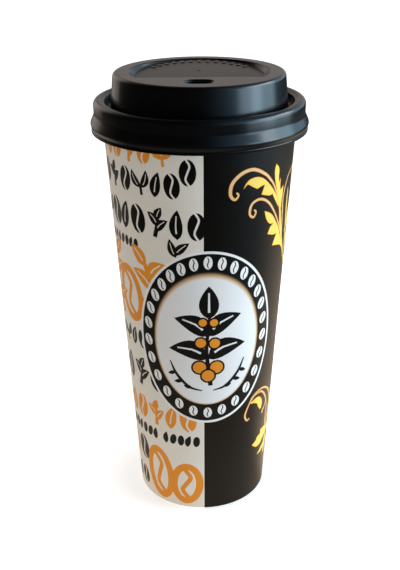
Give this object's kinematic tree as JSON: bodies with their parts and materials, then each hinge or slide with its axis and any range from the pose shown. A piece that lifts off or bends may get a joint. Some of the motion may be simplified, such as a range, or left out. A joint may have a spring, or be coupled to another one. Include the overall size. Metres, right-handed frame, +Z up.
{
  "type": "paper coffee cup",
  "caption": "Tall tapered paper cup with a rolled rim and a black press-on sip lid that lifts straight off.",
  "frame": {"origin": "centre of the foot, on the plane that the cup stands on", "axes": "+Z up along the cup's axis; the sip hole is on the -Y side and the glued side seam on the +Y side; +X to the right as seen from the sip side"},
  "size_m": [0.0942, 0.0942, 0.197],
  "materials": {
    "printed_board": "satin coated paperboard, printed outside",
    "plain_board": "satin coated white paperboard",
    "lid_plastic": "satin black formed plastic"
  },
  "bodies": {
    "cup": {"wall": "printed_board", "base": "plain_board"},
    "lid": {"lid": "lid_plastic"}
  },
  "joints": [
    {"name": "lid_lift", "type": "slide", "parent": "cup", "child": "lid", "axis": [0, 0, 1], "range_m": [0, 0.05]}
  ]
}
